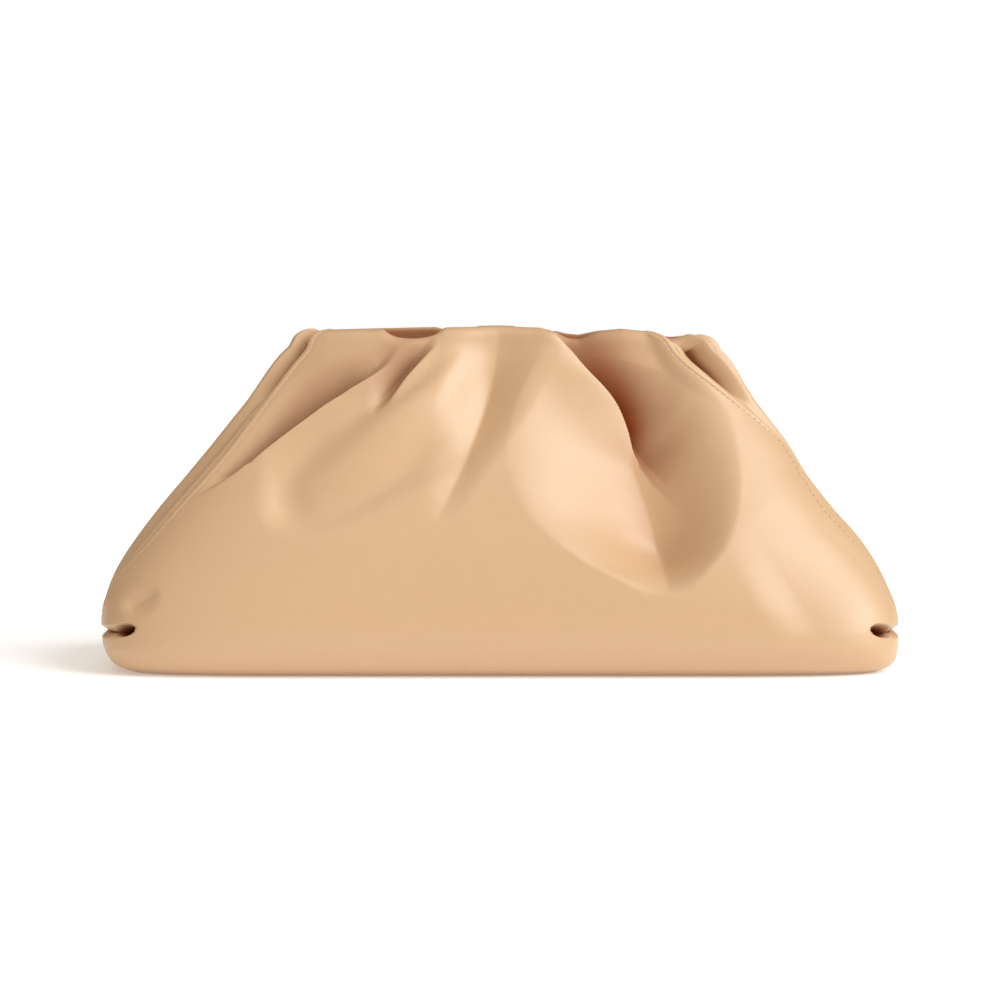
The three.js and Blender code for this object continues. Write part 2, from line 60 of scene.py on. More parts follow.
# Turned edges of the leather, and the hems, grooves and stitches by them
EDGE_RADIUS = 0.0011
EDGE_TAIL = 0.003
EDGE_STEPS = 8
HEM_RISE = 0.0004
HEM_BEFORE = 0.0004
HEM_AFTER = 0.0016
STITCH_LINE = 0.0026
GROOVE_DEPTH = 0.0005
GROOVE_WIDTH = 0.0006
STITCH_PITCH = 0.0034
THREAD_RADIUS = 0.00028
THREAD_SIDES = 6

# How the side pieces tuck under the turned edges: the clearance, and how far from the seam the tuck is
# whole and where it ends
TUCK_CLEARANCE = 0.0002
TUCK_WHOLE = 0.0015
TUCK_END = 0.006

# Along one stitch: places in shares of the pitch, thickness and lift in shares of THREAD_RADIUS
STITCH_PLACES = (0.14, 0.32, 0.5, 0.68, 0.86)
STITCH_THICKNESS = (0.15, 0.85, 1.0, 0.85, 0.15)
STITCH_LIFTS = (-0.9, 0.1, 0.35, 0.1, -0.9)

# Rows without a stitch at the lower and the upper end of a seam
STITCH_START = 6
STITCH_END = 12

# Mouth and lips
MOUTH_LENGTH = 0.181
MOUTH_WIDTH = 0.0092
MOUTH_OFFSET = 0.0025
LIP_ROLL = 0.009
LIP_PINCH = 0.55
HEM_DROP = 0.025

# Folds and gathers: the tables are in shares of these
FOLD_DEPTH = 0.023
FOLD_REACH = 0.058
GATHER_DEPTH = 0.012

# How near a lapping fold the mesh is drawn towards it, and by what share of the distance
FOCUS_REACH = 0.013
FOCUS_PULL = 0.5

# Cross-sections from the floor to the foot of the lips. height is a share of the way up to the lips.
# reach and depth are shares of the way from the lips' size to the bag's, and lean of MOUTH_OFFSET.
# squareness is the exponent of the outline, and the last two are the shares of the depth that the
# right and the left side piece take. The columns: height, reach, depth, lean, squareness, right, left.
SECTIONS = (
    (0.000, 0.870, 0.700, 0.9, 7.0, 0.50, 0.50),
    (0.025, 0.955, 0.861, 0.7, 6.5, 0.50, 0.50),
    (0.074, 0.991, 0.974, 0.2, 6.0, 0.50, 0.50),
    (0.123, 1.000, 1.000, 0.0, 5.5, 0.50, 0.50),
    (0.173, 0.998, 0.993, -0.1, 5.0, 0.50, 0.50),
    (0.228, 0.981, 0.974, -0.3, 4.5, 0.49, 0.53),
    (0.309, 0.916, 0.922, -0.4, 4.0, 0.48, 0.59),
    (0.401, 0.808, 0.843, -0.5, 3.6, 0.50, 0.64),
    (0.494, 0.673, 0.730, -0.9, 3.4, 0.50, 0.66),
    (0.593, 0.532, 0.600, -0.7, 3.2, 0.42, 0.67),
    (0.685, 0.414, 0.460, 0.0, 3.0, 0.36, 0.66),
    (0.778, 0.288, 0.321, 0.2, 2.9, 0.52, 0.64),
    (0.870, 0.167, 0.190, 0.4, 2.8, 0.69, 0.62),
    (0.951, 0.070, 0.077, 0.8, 2.7, 0.86, 0.61),
)
PLEAT_SECTION = 3

# Sections over a lip, by the angle turned over it from its outer foot: angle, squareness, right, left
LIP_SECTIONS = (
    (0, 2.6, 0.89, 0.58),
    (50, 2.4, 0.90, 0.53),
    (90, 2.2, 0.90, 0.48),
    (130, 2.2, 0.91, 0.48),
    (180, 2.2, 0.91, 0.48),
)

# Folds in the front and back, seen from the front, in shares of half the length and of the height.
# The lists run along each fold from its upper end: press in shares of FOLD_DEPTH, west and east in
# shares of FOLD_REACH. lap is how far one side hangs over the other, in shares of FOLD_DEPTH, and
# shadow how strong the painted shadow is that the lap casts beside it.
FRONT_FOLDS = (
    dict(name="big dent", kind="dent", line=((0.145, 1.025), (0.399, 0.674), (0.412, 0.240)),
         press=(0.10, 0.38, 0.62, 0.92, 1.16, 1.22, 0.96, 0.00),
         west=(0.20, 0.72, 1.02, 1.10, 1.08, 0.95, 0.68, 0.24),
         east=(0.62, 0.78, 0.87, 0.90, 0.86, 0.76, 0.56, 0.20)),
    dict(name="big crease", kind="crease", line=((0.140, 1.013), (0.236, 0.862), (0.366, 0.684)),
         press=(0.06, 0.50, 1.05, 1.35, 1.40, 1.20, 0.70),
         west=(0.10, 0.10, 0.10, 0.10, 0.10, 0.10, 0.10),
         east=(0.60, 0.90, 1.05, 1.10, 1.05, 0.95, 0.85),
         lap=(0.26, 0.40, 0.46, 0.46, 0.42, 0.28, 0.06), shadow=(0.2, 0.6, 0.8, 0.9, 1.0, 1.0, 0.7)),
    dict(name="second valley", kind="valley", line=((0.000, 1.025), (-0.005, 0.794), (-0.161, 0.434)),
         press=(0.14, 0.36, 0.46, 0.36, 0.21, 0.10, 0.00),
         west=(0.40, 0.46, 0.46, 0.42, 0.36, 0.28, 0.16),
         east=(0.42, 0.46, 0.42, 0.32, 0.24, 0.18, 0.12)),
    dict(name="short crease", kind="roll", line=((-0.165, 0.975), (-0.235, 0.905), (-0.325, 0.745)),
         press=(0.00, 0.14, 0.30, 0.34, 0.26, 0.12, 0.00),
         west=(0.08, 0.12, 0.15, 0.16, 0.15, 0.12, 0.08),
         east=(0.08, 0.09, 0.10, 0.10, 0.10, 0.09, 0.08),
         lap=(0.00, 0.05, 0.10, 0.10, 0.06, 0.00, 0.00), shadow=(0.0, 0.3, 0.5, 0.5, 0.4, 0.2, 0.0)),
    dict(name="long roll", kind="roll", line=((-0.265, 0.950), (-0.445, 0.735), (-0.771, 0.524)),
         press=(0.00, 0.26, 0.50, 0.62, 0.60, 0.46, 0.24, 0.00),
         west=(0.14, 0.28, 0.38, 0.42, 0.40, 0.32, 0.22, 0.12),
         east=(0.09, 0.10, 0.10, 0.10, 0.10, 0.10, 0.09, 0.08),
         lap=(0.00, 0.10, 0.20, 0.24, 0.22, 0.14, 0.05, 0.00),
         shadow=(0.0, 0.3, 0.45, 0.5, 0.5, 0.4, 0.3, 0.0)),
    dict(name="knuckle", kind="basin", line=((-0.060, 0.655), (-0.340, 0.600), (-0.590, 0.455)),
         press=(0.00, 0.08, 0.16, 0.22, 0.27, 0.29, 0.24, 0.00),
         west=(0.30, 0.44, 0.56, 0.66, 0.70, 0.66, 0.50, 0.24),
         east=(0.16, 0.22, 0.28, 0.34, 0.38, 0.38, 0.32, 0.20)),
    dict(name="small knuckle", kind="swell", line=((-0.285, 0.910), (-0.350, 0.850), (-0.395, 0.790)),
         press=(0.00, -0.06, -0.10, -0.08, 0.00),
         west=(0.14, 0.18, 0.20, 0.18, 0.14),
         east=(0.14, 0.16, 0.18, 0.16, 0.14)),
    dict(name="streak", kind="swell", line=((-0.080, 0.930), (-0.180, 0.760), (-0.540, 0.480)),
         press=(0.00, -0.12, -0.24, -0.30, -0.28, -0.18, 0.00),
         west=(0.12, 0.18, 0.24, 0.30, 0.32, 0.28, 0.20),
         east=(0.20, 0.28, 0.34, 0.38, 0.38, 0.34, 0.24)),
    dict(name="right hip", kind="basin", line=((0.605, 0.450), (0.735, 0.255), (0.805, 0.085)),
         press=(0.00, 0.05, 0.10, 0.12, 0.08, 0.00),
         west=(0.28, 0.34, 0.38, 0.38, 0.34, 0.28),
         east=(0.60, 0.90, 1.10, 1.10, 0.90, 0.60)),
    dict(name="left dimple", kind="valley", line=((-0.835, 0.246), (-0.885, 0.219), (-0.940, 0.190)),
         press=(0.00, 0.10, 0.12, 0.00), west=(0.10, 0.12, 0.12, 0.10), east=(0.12, 0.15, 0.15, 0.12)),
)
BACK_FOLDS = (
    dict(name="back dent", kind="dent", line=((-0.110, 1.020), (-0.300, 0.720), (-0.350, 0.290)),
         press=(0.14, 0.44, 0.60, 0.58, 0.42, 0.20, 0.00),
         west=(0.34, 0.60, 0.74, 0.76, 0.66, 0.46, 0.18),
         east=(0.30, 0.52, 0.64, 0.66, 0.58, 0.40, 0.18)),
    dict(name="back valley", kind="valley", line=((0.090, 1.020), (0.110, 0.800), (0.230, 0.470)),
         press=(0.12, 0.28, 0.36, 0.32, 0.20, 0.08, 0.00),
         west=(0.24, 0.38, 0.44, 0.42, 0.34, 0.24, 0.12),
         east=(0.20, 0.28, 0.34, 0.34, 0.28, 0.20, 0.12)),
    dict(name="back crease", kind="roll", line=((0.290, 0.985), (0.430, 0.780), (0.660, 0.560)),
         press=(0.00, 0.18, 0.32, 0.34, 0.24, 0.10, 0.00),
         west=(0.16, 0.30, 0.40, 0.42, 0.36, 0.24, 0.12),
         east=(0.10, 0.12, 0.14, 0.14, 0.13, 0.12, 0.10)),
    dict(name="back roll", kind="crease", line=((-0.390, 0.960), (-0.520, 0.760), (-0.700, 0.560)),
         press=(0.00, 0.14, 0.25, 0.26, 0.16, 0.06, 0.00),
         west=(0.10, 0.12, 0.14, 0.14, 0.13, 0.12, 0.10),
         east=(0.16, 0.28, 0.36, 0.38, 0.32, 0.22, 0.12)),
)

# How a fold rises to either side: by 1 - share ** valley, raised to the power rim. For each side,
# the list of valley along the fold and then that of rim.
PROFILES = {
    "dent": {"west": ((1.20, 1.20), (1.50, 1.40)), "east": ((2.20, 1.25), (2.20, 1.45))},
    "valley": {"west": ((1.5, 1.2), (2.2, 2.2)), "east": ((1.2, 1.2), (1.7, 1.7))},
    "crease": {"west": ((1.6, 1.6, 1.6, 1.0), (1.3, 1.3, 1.3, 3.0)), "east": ((1.0, 1.0), (3.0, 3.0))},
    "roll": {"west": ((1.0, 1.0), (1.7, 1.7)), "east": ((1.6, 1.6), (1.3, 1.3))},
    "basin": {"west": ((1.8, 1.8), (2.2, 2.2)), "east": ((1.8, 1.8), (1.9, 1.9))},
    "swell": {"west": ((2.0, 2.0), (2.0, 2.0)), "east": ((2.0, 2.0), (2.0, 2.0))},
}
LAP_WAY = {"crease": 1, "roll": -1}

# A lapping edge draws the leather along behind it, and less under it: shares of the lap, and the
# least reach. It rises by a share of the lap, and the painted shadow beside it fades over SHADOW_REACH.
LAP_OVER = 1.3
LAP_UNDER = 0.4
LAP_LEAST = 0.002
LAP_LIFT = 0.4
SHADOW_REACH = 0.018

# How near the middle plane the folds come: height as a share, then the front's and the back's distance.
# The greater ROOM_SHARPNESS is, the nearer to these a deep fold comes.
INSIDE = ((0.46, 0.0360, 0.0480), (0.69, 0.0165, 0.0285), (0.80, 0.0115, 0.0150), (0.90, 0.0144, 0.0144))
ROOM_SHARPNESS = 4

# Dips in the crests of the lips: side, place and reach along X in shares of half the length, and
# depth as a share of FOLD_DEPTH
LIP_DIPS = (
    (-1, -0.219, 0.085, 0.52),
    (-1, 0.185, 0.060, 0.10),
    (1, -0.110, 0.060, 0.12),
    (1, 0.090, 0.060, 0.10),
)

# The line of both crests, as a share of half the length and a drop in shares of the height
TOP_LINE = (
    (-0.60, 0.030), (-0.51, 0.026), (-0.44, 0.012), (-0.30, 0.008), (-0.12, 0.003), (0.00, 0.000),
    (0.10, 0.004), (0.17, 0.024), (0.20, 0.028), (0.25, 0.016), (0.31, 0.010), (0.38, 0.018),
    (0.45, 0.034), (0.60, 0.045),
)

# Gathers down each side piece: place and reach in units of its half width, share of GATHER_DEPTH.
# GATHER_FADE holds a height as a share and how whole they are there.
GATHERS = (
    (-0.70, 0.26, 1.0),
    (-0.16, 0.30, 0.9),
    (0.34, 0.26, 0.7),
    (0.76, 0.24, 0.9),
)
GATHER_FADE = (
    (0.13, 0.0), (0.35, 0.15), (0.60, 0.18), (0.78, 0.25), (0.86, 0.75), (0.93, 1.0), (1.00, 0.75),
)
GATHER_FULLNESS = 0.30

# The pleat pinched across each end, which rises by PLEAT_SLOPE, and the hole at its inner end. The hole
# is whole up to HOLE_FLAT of its reach and ends at HOLE_RIM.
PLEAT_DEPTH = 0.0055
PLEAT_HALF_HEIGHT = 0.0032
PLEAT_SLOPE = 0.20
LEFT_HOLE = 0.0142
RIGHT_HOLE = 0.0112
HOLE_REACH = 0.0060
HOLE_HALF_HEIGHT = 0.0031
HOLE_DEPTH = 0.014
PLEAT_SHARPNESS = 1.6
HOLE_FLAT = 0.60
HOLE_RIM = 1.10

# How far from the seams the folds are whole
SEAM_EASE = 0.014

# Where folds and the relief by the seams ease off, in rows
FLOOR_EASE = 2
LIP_EASE = 1
DROP_EASE = 4
FOLD_OVERRUN = 1.5
DIP_OVERRUN = 2
GATHER_OVERRUN = 1
RELIEF_EASE = 1

# How many rows below the lips places still slide up and down in full, and where they stop
SLIDE_WHOLE = 3
SLIDE_END = 1

# How far the leather faces the front or back where its folds start and where they are whole
FACING_START = 0.05
FACING_FULL = 0.45

# Least rise and run of the outline, and most turn along it, when a place is slid across it
LEAST_RISE = 1e-4
LEAST_RUN = 0.02
MOST_TURN = 0.2

# Painted shade in the gathers, pleat slits, holes and inside the mouth: how dark, and the shares of the
# depth where it starts and is whole
GATHER_SHADE = (0.90, 0.30, 0.80)
SLIT_SHADE = (0.80, 0.50, 1.00)
HOLE_SHADE = (1.00, 0.15, 0.50)
MOUTH_SHADE = 0.80
MOUTH_SHADE_ROWS = 1.2

# The outline runs once round a square of side 2, from the right end's front corner, so 0 to 8
PERIMETER = 8
SIDE_SEAM = 0.5
RIGHT_END = 1
LEFT_END = 5
STEP = 0.01

# Stretches of the outline
FRONT_SPAN = (5.5, 8.5)
BACK_SPAN = (1.5, 4.5)
END_SPANS = ((0.5, 1.5), (4.5, 5.5))

# Mesh densities: from, to and how many steps
COLUMN_SPANS = (
    (0.5, 1.5, 30), (1.5, 2, 22), (2, 4, 130), (4, 4.5, 22), (4.5, 5.5, 30),
    (5.5, 6, 34), (6, 8, 330), (8, 8.5, 34),
)
ROW_SPANS = ((0, 2, 14), (2, 4, 44), (4, 14, 118), (14, 17, 24), (17, 19, 10))
SIDE_ROW_SPANS = ((3.02, 4, 14), (4, 14, 100), (14, 17, 24), (17, 19, 10))
SIDE_COLUMNS = 96
UNDERSIDE_RINGS = (1.0, 0.97, 0.85, 0.6, 0.3, 0.02)

# Colours and finish of the leather. The fold shade is a painted shade in the deep folds, and the shade
# colour a painted shade under laps, in gathers, slits and holes and inside the mouth
LEATHER_COLOUR = (0.59, 0.375, 0.210)
LEATHER_DARK = (0.56, 0.350, 0.192)
LEATHER_LIGHT = (0.62, 0.405, 0.235)
PAINTED_FOLD_SHADE = (0.48, 0.230, 0.090)
PAINTED_SHADE_COLOUR = (0.20, 0.040, 0.008)
LEATHER_ROUGHNESS = (0.38, 0.50)
LEATHER_IOR = 1.50
LEATHER_COAT = 0.25
LEATHER_COAT_ROUGHNESS = 0.38
LIGHT_SHARE = 0.35

# The press at which the painted fold shade starts and is whole, and its share then
FOLD_SHADE_START = 0.006
FOLD_SHADE_WHOLE = 0.030
FOLD_SHADE_SHARE = 0.40

# Scales of the leather's noises per metre, and strength and distance of its two bumps
CLOUD_SCALE = 14.0
MOTTLE_SCALE = 220.0
GRAIN_SCALE = 1500.0
PORE_SCALE = 2600.0
CREASING_SCALE = 60.0
BUMP_STRENGTH = 0.10
GRAIN_DISTANCE = 0.0002
CREASING_DISTANCE = 0.0012

# Brushed steel of the frame
STEEL_COLOUR = (0.42, 0.42, 0.43)
STEEL_ROUGHNESS = 0.38
STEEL_BRUSH_SCALE = 900.0
STEEL_BUMP = 0.2
STEEL_BUMP_DISTANCE = 0.0002

# The floor, a little below the bag
FLOOR_HALF = 6.0
FLOOR_DROP = 0.0002
FLOOR_COLOUR = (0.93, 0.93, 0.93)
FLOOR_ROUGHNESS = 0.9
FLOOR_GLOW = 0.26

# Lights: name, azimuth from the front towards the right, elevation and spread in degrees, power, colour
LIGHTS = (
    ("key", 64, 33, 44, 2.85, (0.94, 1.0, 1.04)),
    ("fill", -38, 18, 80, 0.42, (1.0, 0.93, 0.84)),
    ("top", 15, 75, 70, 0.75, (1.0, 0.98, 0.95)),
)
SURROUND_LIGHT = (0.31, 0.27, 0.22)

# Camera: distance from the bag's middle, elevation in degrees, the width that it sees there, its sensor
# in millimetres, and how far the view is shifted up as a share of it
CAMERA_DISTANCE = 1.6
CAMERA_ELEVATION = 4.0
VIEW_WIDTH = 0.5113
SENSOR = 36.0
VIEW_SHIFT = -0.0065


def smoothstep(value, low, high):
    """0 up to low, 1 from high on, and smooth between."""
    share = np.clip((value - low) / (high - low), 0, 1)
    return share * share * (3 - 2 * share)


def catmull_rom(a, b, c, d, f):
    """A smooth value at share f of the way from b to c, with a before and d after them."""
    return b + 0.5 * f * (c - a + f * (2 * a - 5 * b + 4 * c - d + f * (3 * (b - c) + d - a)))


def square_edge(u):
    """The place on the square's edge at u: p along the length and q through the depth, both -1 to 1."""
    turn = np.mod(u, PERIMETER)
    side = np.minimum(turn // 2, 3).astype(int)
    along = turn - 2 * side - 1
    one = np.ones_like(along)
    return np.choose(side, (one, -along, -one, along)), np.choose(side, (along, one, -along, -one))


def make_rows():
    """Every section from the floor over the lips to the hem."""
    foot = HEIGHT - LIP_ROLL
    lip_reach = MOUTH_LENGTH / 2 + 2 * LIP_ROLL
    lip_depth = MOUTH_WIDTH / 2 + 2 * LIP_ROLL
    rows = [
        (height * foot, lip_reach + reach * (LENGTH / 2 - lip_reach),
         lip_depth + depth * (DEPTH / 2 - lip_depth), lean * MOUTH_OFFSET, squareness, *seams)
        for height, reach, depth, lean, squareness, *seams in SECTIONS
    ]
    for degrees, squareness, *seams in LIP_SECTIONS:
        angle = math.radians(degrees)
        beyond = LIP_ROLL * (1 + math.cos(angle))
        rows.append((foot + LIP_ROLL * math.sin(angle), MOUTH_LENGTH / 2 + beyond,
                     MOUTH_WIDTH / 2 + beyond, MOUTH_OFFSET, squareness, *seams))
    rows.append((HEIGHT - HEM_DROP, *rows[-1][1:]))
    return np.array(rows)


ROWS = make_rows()
Z, REACH, DEPTH_COLUMN, LEAN, SQUARENESS, RIGHT_SEAM, LEFT_SEAM = range(7)
LIP_FOOT = len(SECTIONS)
CREST = LIP_FOOT + 2
HEM = len(ROWS) - 1


def between(s, column):
    """A smooth value between rows, for a row number with a fraction."""
    values = ROWS[:, column]
    padded = np.concatenate(([2 * values[0] - values[1]], values, [2 * values[-1] - values[-2]]))
    i = np.clip(np.floor(s).astype(int), 0, HEM - 1)
    return catmull_rom(padded[i], padded[i + 1], padded[i + 2], padded[i + 3], s - i)


def envelope(u, s):
    """The bag with no folds."""
    p, square_q = square_edge(u)
    seam = np.where(p < 0, between(s, LEFT_SEAM), between(s, RIGHT_SEAM))
    size = np.abs(square_q)
    inner = size / SIDE_SEAM * seam
    outer = seam + (size - SIDE_SEAM) / (1 - SIDE_SEAM) * (1 - seam)
    at_end = np.abs(p) == 1
    q = np.where(at_end, np.sign(square_q) * np.where(size < SIDE_SEAM, inner, outer), square_q)
    n = between(s, SQUARENESS)
    share = (np.abs(p) ** n + np.abs(q) ** n) ** (-1 / n)
    along = p * share
    return np.stack((between(s, REACH) * along + between(s, LEAN) * along ** 2,
                     between(s, DEPTH_COLUMN) * q * share, between(s, Z) + 0 * u), axis=-1)


def unit(vectors):
    """The vectors made 1 long."""
    return vectors / np.maximum(np.linalg.norm(vectors, axis=-1, keepdims=True), 1e-12)


def outward(surface, u, s):
    """The way out of a surface."""
    round_it = surface(u + STEP, s) - surface(u - STEP, s)
    up = surface(u, np.minimum(s + STEP, HEM)) - surface(u, np.maximum(s - STEP, 0))
    return unit(np.cross(round_it, up))


def along_list(values, t):
    """A smooth value from a list of equal steps, for t from 0 to 1."""
    values = np.array(values)
    padded = np.concatenate((values[:1], values, values[-1:]))
    place = np.clip(t, 0, 1) * (len(values) - 1)
    i = np.minimum(np.floor(place).astype(int), len(values) - 2)
    return catmull_rom(padded[i], padded[i + 1], padded[i + 2], padded[i + 3], place - i)


class FoldLine:
    """A fold's own line in elevation: a curve through three points, walked by length."""

    SAMPLES = 200
    SEEDS = 13
    SEARCHES = 4
    LEAST_CURVING = 0.3
    MOST_STEP = 0.1

    def __init__(self, line):
        start, bend, end = (np.array((x * LENGTH / 2, z * HEIGHT)) for x, z in line)
        self.start, self.first, self.second = start, 2 * (bend - start), start - 2 * bend + end
        self.curve_steps = np.linspace(0, 1, self.SAMPLES)
        walked = np.linalg.norm(np.diff(self.point(self.curve_steps[:, None]), axis=0), axis=1)
        self.walked = np.concatenate(([0], np.cumsum(walked)))

    def point(self, step):
        """The place on the line at a step from 0 to 1."""
        return self.start + self.first * step + self.second * step ** 2

    def locate(self, x, z):
        """For places in elevation: t along the line, how far east and past its end, and the way east."""
        seeds = np.linspace(0, 1, self.SEEDS)
        far = [np.hypot(x - px, z - pz) for px, pz in self.point(seeds[:, None])]
        step = seeds[np.argmin(far, axis=0)]
        place = np.stack((x, z), axis=-1)
        for _ in range(self.SEARCHES):
            offset = place - self.point(step[..., None])
            way = self.first + 2 * self.second * step[..., None]
            square = np.sum(way * way, axis=-1)
            bend = 2 * np.sum(offset * self.second, axis=-1)
            curving = np.maximum(square - bend, self.LEAST_CURVING * square)
            ahead = np.sum(offset * way, axis=-1) / curving
            step = np.clip(step + np.clip(ahead, -self.MOST_STEP, self.MOST_STEP), 0, 1)
        offset = place - self.point(step[..., None])
        way = unit(self.first + 2 * self.second * step[..., None])
        t = np.interp(step, self.curve_steps, self.walked) / self.walked[-1]
        east = offset[..., 1] * way[..., 0] - offset[..., 0] * way[..., 1]
        past = np.sum(offset * way, axis=-1)
        return t, east, past, -way[..., 1], way[..., 0]


for fold in (*FRONT_FOLDS, *BACK_FOLDS):
    fold["curve"] = FoldLine(fold["line"])


def fold_press(fold, x, z):
    """How far a fold presses in, how far it laps over in x and in z, and the painted shadow its lap casts
    there.
    """
    t, east, past, east_x, east_z = fold["curve"].locate(x, z)
    reach = {side: FOLD_REACH * along_list(fold[side], t) for side in ("west", "east")}
    end_reach = (reach["west"] + reach["east"]) / 2
    press = np.zeros_like(x)
    for side, chosen in (("west", east <= 0), ("east", east > 0)):
        valley, rim = (along_list(values, t) for values in PROFILES[fold["kind"]][side])
        share = np.clip(np.hypot(east / reach[side], past / end_reach), 0, 1)
        press = np.where(chosen, (1 - share ** valley) ** rim, press)
    press = press * FOLD_DEPTH * along_list(fold["press"], t)
    if "lap" not in fold:
        return press, 0 * x, 0 * x, 0 * x
    way = LAP_WAY[fold["kind"]]
    amount = FOLD_DEPTH * along_list(fold["lap"], t)
    beyond = way * east + reach["west" if way > 0 else "east"]
    width = np.maximum(amount * np.where(beyond > 0, LAP_UNDER, LAP_OVER), LAP_LEAST)
    lap = amount * np.exp(-(beyond / width) ** 2 - (past / LAP_LEAST) ** 2)
    # Painted shadow beside a lapping edge, fading away from it
    clear = np.clip(beyond - amount, 0, None) / SHADOW_REACH
    shadow = along_list(fold["shadow"], t) * np.exp(-clear ** 2 - (past / SHADOW_REACH) ** 2)
    shadow = shadow * smoothstep(beyond, 0, LAP_LEAST)
    return press - LAP_LIFT * lap, way * lap * east_x, way * lap * east_z, shadow


def slide(u, s, across, up, strength):
    """The outline place that lies across and up from u, s in elevation."""
    across = across * strength
    up = up * strength * (1 - smoothstep(s, LIP_FOOT - SLIDE_WHOLE, LIP_FOOT - SLIDE_END))
    rise = (between(np.minimum(s + STEP, HEM), Z) - between(np.maximum(s - STEP, 0), Z)) / (2 * STEP)
    move = up / np.where(np.abs(rise) < LEAST_RISE, LEAST_RISE, rise)
    here = envelope(u, s)[..., 0]
    x_u = (envelope(u + STEP, s)[..., 0] - envelope(u - STEP, s)[..., 0]) / (2 * STEP)
    x_s = (envelope(u, np.minimum(s + STEP, HEM))[..., 0] - here) / STEP
    safe = np.where(np.abs(x_u) < LEAST_RUN, LEAST_RUN * np.where(x_u < 0, -1, 1), x_u)
    turn = np.clip((across - move * x_s) / safe, -MOST_TURN, MOST_TURN)
    return u + turn, np.clip(s + np.clip(move, -1, 1), 0, HEM)


def face_strength(u, s):
    """How much of the front's or back's folds a place takes."""
    turned = np.abs(outward(envelope, u, np.minimum(s, LIP_FOOT))[..., 1])
    facing = smoothstep(turned, FACING_START, FACING_FULL)
    from_end = np.mod(u - RIGHT_END + PERIMETER / 4, PERIMETER / 2) - PERIMETER / 4
    seam_u = u - from_end + SIDE_SEAM * np.sign(from_end)
    from_seam = np.linalg.norm(envelope(u, s) - envelope(seam_u, s), axis=-1)
    by_seam = smoothstep(np.where(np.abs(from_end) > SIDE_SEAM, from_seam, 0), 0, SEAM_EASE)
    by_row = smoothstep(s, 0, FLOOR_EASE) * (1 - smoothstep(s, CREST, CREST + FOLD_OVERRUN))
    return facing * by_seam * by_row


def focus(u, s, folds, strength):
    """Draws places towards the lapping folds, so that the mesh is finest there."""
    place = envelope(u, s)
    across = np.zeros_like(u)
    up = np.zeros_like(u)
    for fold in folds:
        if "lap" in fold:
            _, east, past, east_x, east_z = fold["curve"].locate(place[..., 0], place[..., 2])
            pull = -FOCUS_PULL * east * np.exp(-(east / FOCUS_REACH) ** 2 - (past / FOCUS_REACH) ** 2)
            across += pull * east_x
            up += pull * east_z
    return slide(u, s, across, up, strength)


def top_line(x):
    """How far the crests of the lips lie below the height."""
    at, drop = np.array(TOP_LINE).T
    return HEIGHT * np.interp(2 * x / LENGTH, at, drop)


def gather_press(place, u, s):
    """The gathers of a side piece, with a little fullness between its seams."""
    p, q = square_edge(u)
    across = np.where(np.abs(p) == 1, q / SIDE_SEAM, np.sign(q))
    heights, shares = np.array(GATHER_FADE).T
    fade = np.interp(place[..., 2] / HEIGHT, heights, shares)
    fade = fade * (1 - smoothstep(s, CREST, CREST + GATHER_OVERRUN))
    wave = np.zeros_like(u)
    for at, reach, depth in GATHERS:
        wave += depth * smoothstep(1 - np.abs(across - at) / reach, 0, 1)
    inside = np.abs(across) < 1
    return np.where(inside, GATHER_DEPTH * fade * (wave - GATHER_FULLNESS * (1 - across ** 2)), 0)


def pleat_press(place):
    """The pleat pinched across each end, and the hole that it leaves at its inner end."""
    x, z = place[..., 0], place[..., 2]
    inboard = LENGTH / 2 - np.abs(x)
    height = ROWS[PLEAT_SECTION, Z] + PLEAT_SLOPE * inboard
    hole_at = np.where(x < 0, LEFT_HOLE, RIGHT_HOLE)
    crease = np.clip(1 - np.abs(z - height) / PLEAT_HALF_HEIGHT, 0, 1) ** PLEAT_SHARPNESS
    slit = PLEAT_DEPTH * crease * (1 - smoothstep(inboard, hole_at, hole_at + HOLE_REACH))
    round_hole = np.hypot((inboard - hole_at) / HOLE_REACH, (z - height) / HOLE_HALF_HEIGHT)
    return slit, HOLE_DEPTH * (1 - smoothstep(round_hole, HOLE_FLAT, HOLE_RIM))


def fold_room(base):
    """How far the leather can be pressed in before it meets the frame or what the bag holds."""
    depth = np.abs(base[..., 1])
    slit = MOUTH_WIDTH / 2
    heights, front, back = np.array(INSIDE).T
    share = base[..., 2] / HEIGHT
    inside = np.where(base[..., 1] < 0, np.interp(share, heights, front), np.interp(share, heights, back))
    return np.maximum(depth - np.minimum(inside, slit + LIP_PINCH * (depth - slit)), 1e-6)


def shaded(share, shade, start, whole):
    """A painted shade that starts at one share and is whole at another."""
    return shade * smoothstep(share, start, whole)


